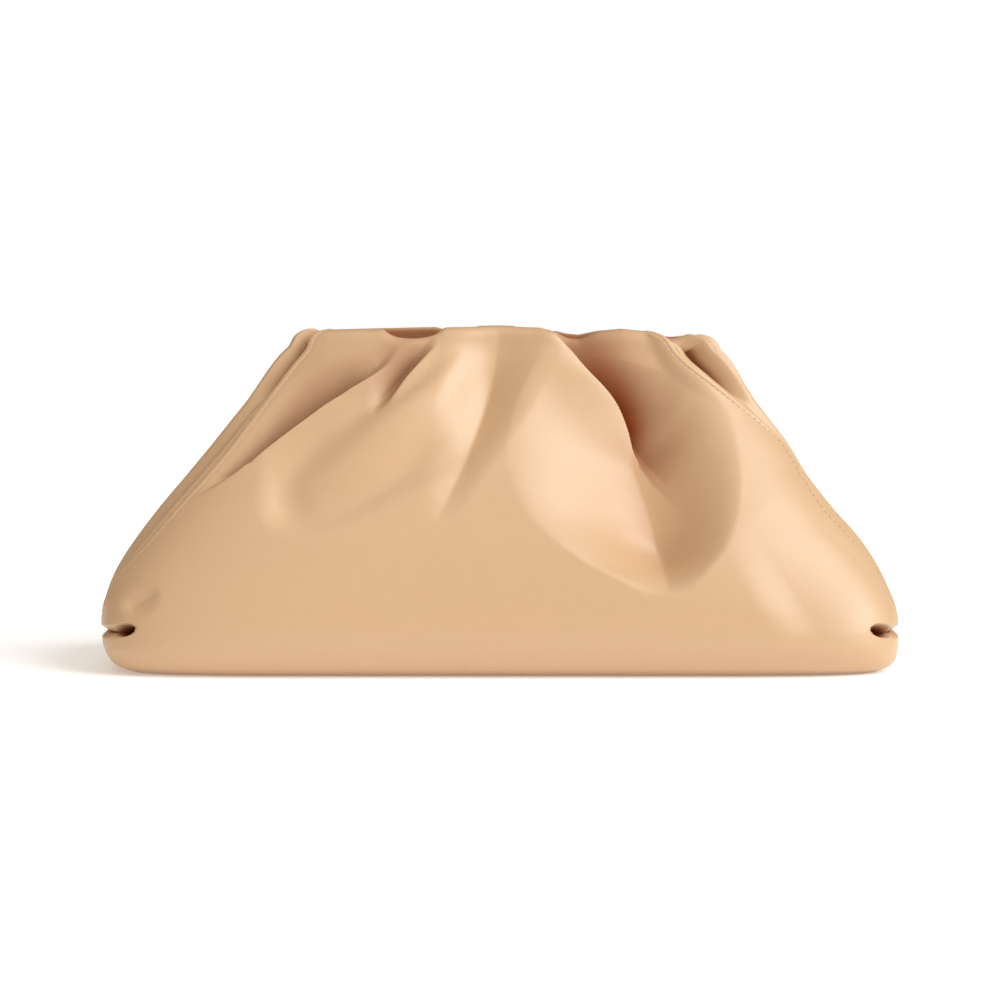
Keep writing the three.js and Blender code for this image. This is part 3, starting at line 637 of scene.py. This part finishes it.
def leather(u, s):
    """The bag's outer surface with all its folds, with how far it is pressed in and its painted shade."""
    _, q = square_edge(u)
    strength = face_strength(u, s)
    shapes = []
    for folds, chosen in ((FRONT_FOLDS, q < 0), (BACK_FOLDS, q >= 0)):
        part = np.where(chosen, strength, 0)
        near_u, near_s = focus(u, s, folds, part)
        place = envelope(near_u, near_s)
        press = np.zeros_like(u)
        across = np.zeros_like(u)
        up = np.zeros_like(u)
        shadow = np.zeros_like(u)
        for fold in folds:
            deep, lap_x, lap_z, dark = fold_press(fold, place[..., 0], place[..., 2])
            press += deep
            across += lap_x
            up += lap_z
            shadow = np.maximum(shadow, dark)
        shapes.append((near_u, near_s, press, across, up, shadow))
    near_u, near_s, press, across, up, shadow = (np.where(q < 0, a, b) for a, b in zip(*shapes))
    slid_u, slid_s = slide(near_u, near_s, across, up, strength)
    base = envelope(slid_u, slid_s)
    normal = outward(envelope, slid_u, slid_s)
    press = press * strength
    room = fold_room(base)
    held_back = (1 + (press / room) ** ROOM_SHARPNESS) ** (1 / ROOM_SHARPNESS)
    press = np.where(press > 0, press / held_back, press)
    over_lip = smoothstep(near_s, LIP_FOOT - LIP_EASE, CREST)[..., None]
    level = np.stack((0 * u, np.sign(base[..., 1]), 0 * u), axis=-1)
    inward = -unit(normal * (1 - over_lip) + level * over_lip)
    dips = np.zeros_like(u)
    for side, at, reach, share in LIP_DIPS:
        away = np.clip(np.abs(2 * base[..., 0] / LENGTH - at) / reach, 0, 1)
        dips += np.where(np.sign(base[..., 1]) == side, FOLD_DEPTH * share * (1 - away ** 2) ** 2, 0)
    rise = smoothstep(s, LIP_FOOT, CREST)
    dips = dips * rise * (1 - smoothstep(s, CREST, CREST + DIP_OVERRUN))
    drop = top_line(base[..., 0]) * smoothstep(s, LIP_FOOT - DROP_EASE, CREST)
    drop = drop * (1 - smoothstep(s, CREST, HEM))
    gathers = gather_press(base, u, s)
    slit, hole = pleat_press(base)
    other = dips + gathers + np.maximum(slit, hole)
    place = base + inward * press[..., None] - normal * other[..., None]
    place[..., 2] -= drop
    place[..., 2] = np.maximum(place[..., 2], 0)
    # Painted shade: the laps' painted shadows, and painted shade inside the mouth and in the gathers,
    # slits and holes
    painted_shade = (shadow * strength + shaded(s - CREST, MOUTH_SHADE, 0, MOUTH_SHADE_ROWS)
              + shaded(gathers / GATHER_DEPTH, *GATHER_SHADE)
              + shaded(slit / PLEAT_DEPTH, *SLIT_SHADE) + shaded(hole / HOLE_DEPTH, *HOLE_SHADE))
    return place, np.stack((press + other, np.clip(painted_shade, 0, 1)), axis=-1)


def spaced(spans):
    """Places at even steps within each span."""
    parts = [np.linspace(start, end, count, endpoint=False) for start, end, count in spans]
    return np.concatenate((*parts, [spans[-1][1]]))


def grid_normals(places, wraps):
    """Normals of a grid of places, rows first. wraps says that the last column neighbours the first."""
    if wraps:
        round_it = np.roll(places, -1, axis=1) - np.roll(places, 1, axis=1)
    else:
        round_it = np.gradient(places, axis=1)
    return unit(np.cross(round_it, np.gradient(places, axis=0)))


def grid_faces(numbers):
    """Quads of a grid of vertex numbers, rows first, facing out where columns run anticlockwise."""
    a, b = numbers[:-1, :-1], numbers[:-1, 1:]
    c, d = numbers[1:, 1:], numbers[1:, :-1]
    return np.stack((a, b, c, d), axis=-1).reshape(-1, 4)


class MeshParts:
    """Grids of vertices, with their normals, their fold depth and their painted shade, gathered into one
    mesh.
    """

    def __init__(self):
        self.places, self.normals, self.shades, self.faces = [], [], [], []
        self.count = 0

    def vertices(self, places, normals, shade):
        """Adds vertices and says what their numbers are."""
        numbers = self.count + np.arange(places[..., 0].size).reshape(places.shape[:-1])
        self.places.append(places.reshape(-1, 3))
        self.normals.append(normals.reshape(-1, 3))
        self.shades.append(np.broadcast_to(shade, (*places.shape[:-1], 2)).reshape(-1, 2))
        self.count += places[..., 0].size
        return numbers

    def grid(self, places, normals, shade=0.0, flip=False):
        """Adds a grid of quads."""
        faces = grid_faces(self.vertices(places, normals, shade))
        self.faces.append(faces[:, ::-1] if flip else faces)

    def build(self, name, material):
        """The finished piece."""
        places = np.concatenate(self.places)
        normals = np.concatenate(self.normals)
        faces = np.concatenate(self.faces)
        mesh = bpy.data.meshes.new(name)
        mesh.from_pydata(places, [], faces.tolist())
        mesh.polygons.foreach_set("use_smooth", np.ones(len(faces), bool))
        for shade_name, values in zip(("fold", "painted_shade"), np.concatenate(self.shades).T):
            attribute = mesh.attributes.new(shade_name, "FLOAT", "POINT")
            attribute.data.foreach_set("value", values.astype(np.float32))
        mesh.normals_split_custom_set_from_vertices(normals.tolist())
        mesh.materials.append(material)
        piece = bpy.data.objects.new(name, mesh)
        bpy.context.scene.collection.objects.link(piece)
        return piece


def turned_edge(places, normals, aside, shade):
    """A rounded edge from a border's places, turning towards aside and back under it."""
    angles = np.linspace(0, math.pi, EDGE_STEPS + 1)[1:]
    rings = [places]
    ring_normals = [normals]
    for angle in angles:
        rings.append(places + aside * EDGE_RADIUS * math.sin(angle)
                     - normals * EDGE_RADIUS * (1 - math.cos(angle)))
        ring_normals.append(normals * math.cos(angle) + aside * math.sin(angle))
    rings.append(rings[-1] - aside * EDGE_TAIL)
    ring_normals.append(-normals)
    return np.stack(rings, axis=1), np.stack(ring_normals, axis=1), shade[:, None, :]


def seam_relief(distance):
    """The panel's edge by its seam: a turned-in hem that ends in a shallow stitched groove."""
    hem = HEM_RISE * (1 - smoothstep(distance, STITCH_LINE - HEM_BEFORE, STITCH_LINE + HEM_AFTER))
    groove = GROOVE_DEPTH * np.exp(-((distance - STITCH_LINE) / GROOVE_WIDTH) ** 2)
    return hem - groove


def travelled(places):
    """Distance along each row of a grid from its first column."""
    step = np.linalg.norm(np.diff(places, axis=1), axis=-1)
    return np.concatenate((np.zeros((len(places), 1)), np.cumsum(step, axis=1)), axis=1)


def make_panel_grid():
    """The whole hide on one grid, with the turned hems by its seams raised."""
    columns = spaced(COLUMN_SPANS)[:-1]
    rows = spaced(ROW_SPANS)
    u, s = np.meshgrid(columns, rows)
    places, press = leather(u, s)
    normals = grid_normals(places, wraps=True)
    fade = smoothstep(rows, PLEAT_SECTION, PLEAT_SECTION + RELIEF_EASE)
    fade = fade * (1 - smoothstep(rows, CREST + RELIEF_EASE, HEM))
    relief = np.zeros_like(u)
    for span in (BACK_SPAN, FRONT_SPAN):
        chosen = columns_between(columns, *span)
        along = travelled(places[:, chosen])
        near = np.minimum(along, along[:, -1:] - along)
        relief[:, chosen] = seam_relief(near) * fade[:, None]
    places = places + normals * relief[..., None]
    return columns, rows, places, grid_normals(places, wraps=True), press


def make_stitches(lines):
    """Short threads along each seam's groove, on paths of places and normals."""
    parts = MeshParts()
    ring = np.linspace(0, 2 * math.pi, THREAD_SIDES + 1)
    thickness = THREAD_RADIUS * np.array(STITCH_THICKNESS)[:, None]
    lifts = THREAD_RADIUS * np.array(STITCH_LIFTS)[:, None]
    for places, normals in lines:
        path = np.concatenate(([0], np.cumsum(np.linalg.norm(np.diff(places, axis=0), axis=1))))
        count = int(path[-1] / STITCH_PITCH)
        for k in range(count):
            walked = (k + np.array(STITCH_PLACES)) * STITCH_PITCH
            at = np.stack([np.interp(walked, path, places[:, c]) for c in range(3)], 1)
            up = unit(np.stack([np.interp(walked, path, normals[:, c]) for c in range(3)], 1))
            way = unit(np.gradient(at, axis=0))
            side = np.cross(way, up)
            out = [side * math.cos(a) + up * math.sin(a) for a in ring]
            grid = np.stack([at + up * lifts + way_out * thickness for way_out in out], 1)
            parts.grid(grid, np.stack(out, 1), flip=True)
    return parts


def node_material(name, colour, roughness):
    """A material with its node tree and its shader."""
    material = bpy.data.materials.new(name)
    material.use_nodes = True
    tree = material.node_tree
    shader = tree.nodes["Principled BSDF"]
    shader.inputs["Base Color"].default_value = (*colour, 1)
    shader.inputs["Roughness"].default_value = roughness
    return material, tree, shader


def add_node(tree, kind, links=(), **settings):
    """A node with its inputs set by name, linked from (input name, output socket) pairs."""
    node = tree.nodes.new(kind)
    for key, value in settings.items():
        if key in node.inputs:
            node.inputs[key].default_value = value
        else:
            setattr(node, key, value)
    for name, socket in links:
        tree.links.new(socket, node.inputs[name])
    return node


def mix(tree, share, first, second):
    """A colour between first, which may be another node's, and second."""
    node = add_node(tree, "ShaderNodeMixRGB", [("Fac", share)], Color2=(*second, 1))
    if isinstance(first, tuple):
        node.inputs["Color1"].default_value = (*first, 1)
    else:
        tree.links.new(first, node.inputs["Color1"])
    return node.outputs["Color"]


def make_leather(name="leather", bump=BUMP_STRENGTH):
    """Smooth leather: fine grain, faint creasing, a painted shade that makes the deep folds warmer and
    darker, and a dark rough painted shade under laps, in gathers, slits and holes and inside the mouth.
    """
    low, high = LEATHER_ROUGHNESS
    material, tree, shader = node_material(name, LEATHER_COLOUR, low)
    place = [("Vector", add_node(tree, "ShaderNodeTexCoord").outputs["Object"])]
    fold = add_node(tree, "ShaderNodeAttribute", attribute_name="fold").outputs["Fac"]
    painted_shade = add_node(tree, "ShaderNodeAttribute", attribute_name="painted_shade").outputs["Fac"]
    cloud = add_node(tree, "ShaderNodeTexNoise", place, Scale=CLOUD_SCALE, Detail=4.0, Roughness=0.55)
    mottle = add_node(tree, "ShaderNodeTexNoise", place, Scale=MOTTLE_SCALE, Detail=3.0)
    grain = add_node(tree, "ShaderNodeTexVoronoi", place, Scale=GRAIN_SCALE, feature="DISTANCE_TO_EDGE")
    pores = add_node(tree, "ShaderNodeTexNoise", place, Scale=PORE_SCALE, Detail=2.0)
    creasing = add_node(tree, "ShaderNodeTexNoise", place, Scale=CREASING_SCALE, Detail=6.0,
                        Roughness=0.6, Distortion=0.8)

    light = add_node(tree, "ShaderNodeMath", [(0, mottle.outputs["Fac"])], operation="MULTIPLY")
    light.inputs[1].default_value = LIGHT_SHARE
    # Painted shade in the folds: the deeper the press, the warmer and darker the colour
    fold_shade = add_node(tree, "ShaderNodeMapRange", [("Value", fold)],
                    **{"From Min": FOLD_SHADE_START, "From Max": FOLD_SHADE_WHOLE, "To Max": FOLD_SHADE_SHARE})
    colour = mix(tree, cloud.outputs["Fac"], LEATHER_DARK, LEATHER_COLOUR)
    colour = mix(tree, light.outputs[0], colour, LEATHER_LIGHT)
    colour = mix(tree, fold_shade.outputs["Result"], colour, PAINTED_FOLD_SHADE)
    tree.links.new(colour, shader.inputs["Base Color"])

    sheen = add_node(tree, "ShaderNodeMapRange", [("Value", mottle.outputs["Fac"])],
                     **{"To Min": low, "To Max": high})
    rough = add_node(tree, "ShaderNodeMapRange", [("Value", painted_shade), ("To Min", sheen.outputs["Result"])])
    tree.links.new(rough.outputs["Result"], shader.inputs["Roughness"])
    pored = add_node(tree, "ShaderNodeMath", [(0, grain.outputs["Distance"]), (1, pores.outputs["Fac"])],
                     operation="ADD")
    fine_bump = add_node(tree, "ShaderNodeBump", [("Height", pored.outputs[0])],
                         Strength=bump, Distance=GRAIN_DISTANCE)
    soft_bump = add_node(tree, "ShaderNodeBump",
                         [("Height", creasing.outputs["Fac"]), ("Normal", fine_bump.outputs["Normal"])],
                         Strength=bump, Distance=CREASING_DISTANCE)
    tree.links.new(soft_bump.outputs["Normal"], shader.inputs["Normal"])
    shader.inputs["IOR"].default_value = LEATHER_IOR
    shader.inputs["Coat Weight"].default_value = LEATHER_COAT
    shader.inputs["Coat Roughness"].default_value = LEATHER_COAT_ROUGHNESS

    # Where the painted shade is whole, a dark rough leather without gloss stands in for shade
    painted_shade_shader = add_node(tree, "ShaderNodeBsdfPrincipled", Roughness=1.0)
    painted_shade_shader.inputs["Base Color"].default_value = (*PAINTED_SHADE_COLOUR, 1)
    painted_shade_shader.inputs["Specular IOR Level"].default_value = 0
    both = add_node(tree, "ShaderNodeMixShader", [("Fac", painted_shade)])
    tree.links.new(shader.outputs["BSDF"], both.inputs[1])
    tree.links.new(painted_shade_shader.outputs["BSDF"], both.inputs[2])
    tree.links.new(both.outputs["Shader"], tree.nodes["Material Output"].inputs["Surface"])
    return material


def make_steel():
    """Plain brushed steel."""
    material, tree, shader = node_material("frame_steel", STEEL_COLOUR, STEEL_ROUGHNESS)
    shader.inputs["Metallic"].default_value = 1.0
    place = add_node(tree, "ShaderNodeTexCoord").outputs["Object"]
    brushed = add_node(tree, "ShaderNodeTexNoise", [("Vector", place)],
                       Scale=STEEL_BRUSH_SCALE, Detail=2.0)
    bump = add_node(tree, "ShaderNodeBump", [("Height", brushed.outputs["Fac"])],
                    Strength=STEEL_BUMP, Distance=STEEL_BUMP_DISTANCE)
    tree.links.new(bump.outputs["Normal"], shader.inputs["Normal"])
    return material


def columns_between(columns, first, last):
    """Column numbers from first to last along the outline, over its end where needed."""
    order = np.argsort(np.mod(columns - first, PERIMETER), kind="stable")
    return [k for k in order if np.mod(columns[k] - first, PERIMETER) <= last - first + 1e-9]


def border_aside(places, normals, column, inner):
    """The way past a border, along the surface, at right angles to the seam."""
    along = unit(np.gradient(places[:, column], axis=0))
    aside = unit(np.cross(along, normals[:, column]))
    outwards = places[:, column] - places[:, inner]
    return aside * np.sign(np.sum(aside * outwards, axis=1, keepdims=True))


def make_panel(columns, rows, places, normals, press, leather_material):
    """The hide as its front and its back with the base, with turned edges along the four seams."""
    pleat = int(np.argmin(np.abs(rows - PLEAT_SECTION)))
    front = columns_between(columns, *FRONT_SPAN)
    back = columns_between(columns, *BACK_SPAN)
    pieces = []
    lines = []
    for name, chosen in (("main_panel_front", front), ("main_panel_back", back)):
        parts = MeshParts()
        panel = places[:, chosen]
        panel_normals = normals[:, chosen].copy()
        panel_normals[pleat:] = grid_normals(panel, wraps=False)[pleat:]
        parts.grid(panel, panel_normals, press[:, chosen])
        for border, inner in ((0, 1), (-1, -2)):
            aside = border_aside(panel, panel_normals, border, inner)[pleat:]
            edge = turned_edge(panel[pleat:, border], panel_normals[pleat:, border], aside,
                               press[pleat:, chosen[border]])
            parts.grid(*edge, flip=border == 0)
        if chosen is back:
            for span in END_SPANS:
                end = columns_between(columns, *span)
                parts.grid(places[:pleat + 1, end], normals[:pleat + 1, end], press[:pleat + 1, end])
            add_underside(parts, places[0])
        pieces.append(parts.build(name, leather_material))
        lines += stitch_lines(places, normals, chosen, pleat)
    return pieces, lines


def add_underside(parts, rim):
    """The flat underside, as rings round the middle."""
    closed = np.concatenate((rim, rim[:1]))
    rings = closed[None] * np.array(UNDERSIDE_RINGS)[:, None, None]
    rings[..., 2] = 0
    normals = np.zeros_like(rings)
    normals[..., 2] = -1
    parts.grid(rings, normals, flip=True)


def stitch_lines(places, normals, chosen, pleat):
    """Where the stitches run: a set distance from each border of a panel."""
    lines = []
    for run in (chosen, chosen[::-1]):
        panel = places[pleat:, run]
        distance = travelled(panel)
        line = []
        line_normals = []
        for row, far in zip(range(len(panel)), distance):
            k = int(np.searchsorted(far, STITCH_LINE))
            share = (STITCH_LINE - far[k - 1]) / (far[k] - far[k - 1])
            line.append(panel[row, k - 1] * (1 - share) + panel[row, k] * share)
            line_normals.append(normals[pleat + row, run[k]])
        sewn = slice(STITCH_START, -STITCH_END)
        lines.append((np.array(line[sewn]), np.array(line_normals[sewn])))
    return lines


def make_side_piece(name, middle, leather_material):
    """A gathered side piece, its edges tucked under the hide's turned edges."""
    columns = middle + np.linspace(-SIDE_SEAM, SIDE_SEAM, SIDE_COLUMNS + 1)
    u, s = np.meshgrid(columns, spaced(SIDE_ROW_SPANS))
    places, press = leather(u, s)
    normals = grid_normals(places, wraps=False)
    along = travelled(places)
    near = np.minimum(along, along[:, -1:] - along)
    tuck = (2 * EDGE_RADIUS + TUCK_CLEARANCE) * (1 - smoothstep(near, TUCK_WHOLE, TUCK_END))
    places = places - normals * tuck[..., None]
    parts = MeshParts()
    parts.grid(places, grid_normals(places, wraps=False), press)
    return parts.build(name, leather_material)


def make_floor():
    """A plain pale floor."""
    mesh = bpy.data.meshes.new("floor")
    corners = [(x * FLOOR_HALF, y * FLOOR_HALF, 0) for x, y in ((-1, -1), (1, -1), (1, 1), (-1, 1))]
    mesh.from_pydata(corners, [], [(0, 1, 2, 3)])
    material, _, shader = node_material("floor_paint", FLOOR_COLOUR, FLOOR_ROUGHNESS)
    shader.inputs["Emission Color"].default_value = (1, 1, 1, 1)
    shader.inputs["Emission Strength"].default_value = FLOOR_GLOW
    mesh.materials.append(material)
    floor = bpy.data.objects.new("floor", mesh)
    floor.location.z = -FLOOR_DROP
    bpy.context.scene.collection.objects.link(floor)


def make_light(name, azimuth, elevation, spread, power, colour):
    """A far, wide, soft light."""
    light = bpy.data.lights.new(name, "SUN")
    light.angle = math.radians(spread)
    light.energy = power
    light.color = colour
    lamp = bpy.data.objects.new(name, light)
    lamp.rotation_euler = (math.radians(90 - elevation), 0, math.radians(azimuth))
    bpy.context.scene.collection.objects.link(lamp)


def make_lights():
    """The lights, and a surround that lights the bag dimly and that the camera sees as white."""
    for light in LIGHTS:
        make_light(*light)
    world = bpy.data.worlds.new("studio")
    world.use_nodes = True
    tree = world.node_tree
    seen = add_node(tree, "ShaderNodeLightPath").outputs["Is Camera Ray"]
    colour = mix(tree, seen, SURROUND_LIGHT, (1, 1, 1))
    tree.links.new(colour, tree.nodes["Background"].inputs["Color"])
    bpy.context.scene.world = world
    bpy.context.scene.view_settings.view_transform = "Standard"


def make_camera():
    """The photograph's view, from the front and a little above."""
    camera = bpy.data.cameras.new("camera")
    camera.sensor_width = SENSOR
    camera.lens = SENSOR * CAMERA_DISTANCE / VIEW_WIDTH
    camera.shift_y = VIEW_SHIFT
    elevation = math.radians(CAMERA_ELEVATION)
    holder = bpy.data.objects.new("camera", camera)
    holder.location = (0, -CAMERA_DISTANCE * math.cos(elevation),
                       HEIGHT / 2 + CAMERA_DISTANCE * math.sin(elevation))
    holder.rotation_euler = (math.pi / 2 - elevation, 0, 0)
    bpy.context.scene.collection.objects.link(holder)
    bpy.context.scene.camera = holder


make_camera()
make_lights()
make_floor()

leather_look = make_leather()
columns, rows, places, normals, press = make_panel_grid()
panel_pieces, seam_lines = make_panel(columns, rows, places, normals, press, leather_look)
for piece in panel_pieces:
    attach(piece, "root")
    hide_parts("main_panel")

for name, middle in (("gusset_right", RIGHT_END), ("gusset_left", LEFT_END)):
    piece = make_side_piece(name + "_leather", middle, leather_look)
    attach(piece, "root")
    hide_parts(name)

stitches = make_stitches(seam_lines).build("seam_stitches", make_leather("thread", bump=0))
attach(stitches, "root")

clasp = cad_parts["clasp_frame"]
clasp.data.materials.clear()
clasp.data.materials.append(make_steel())
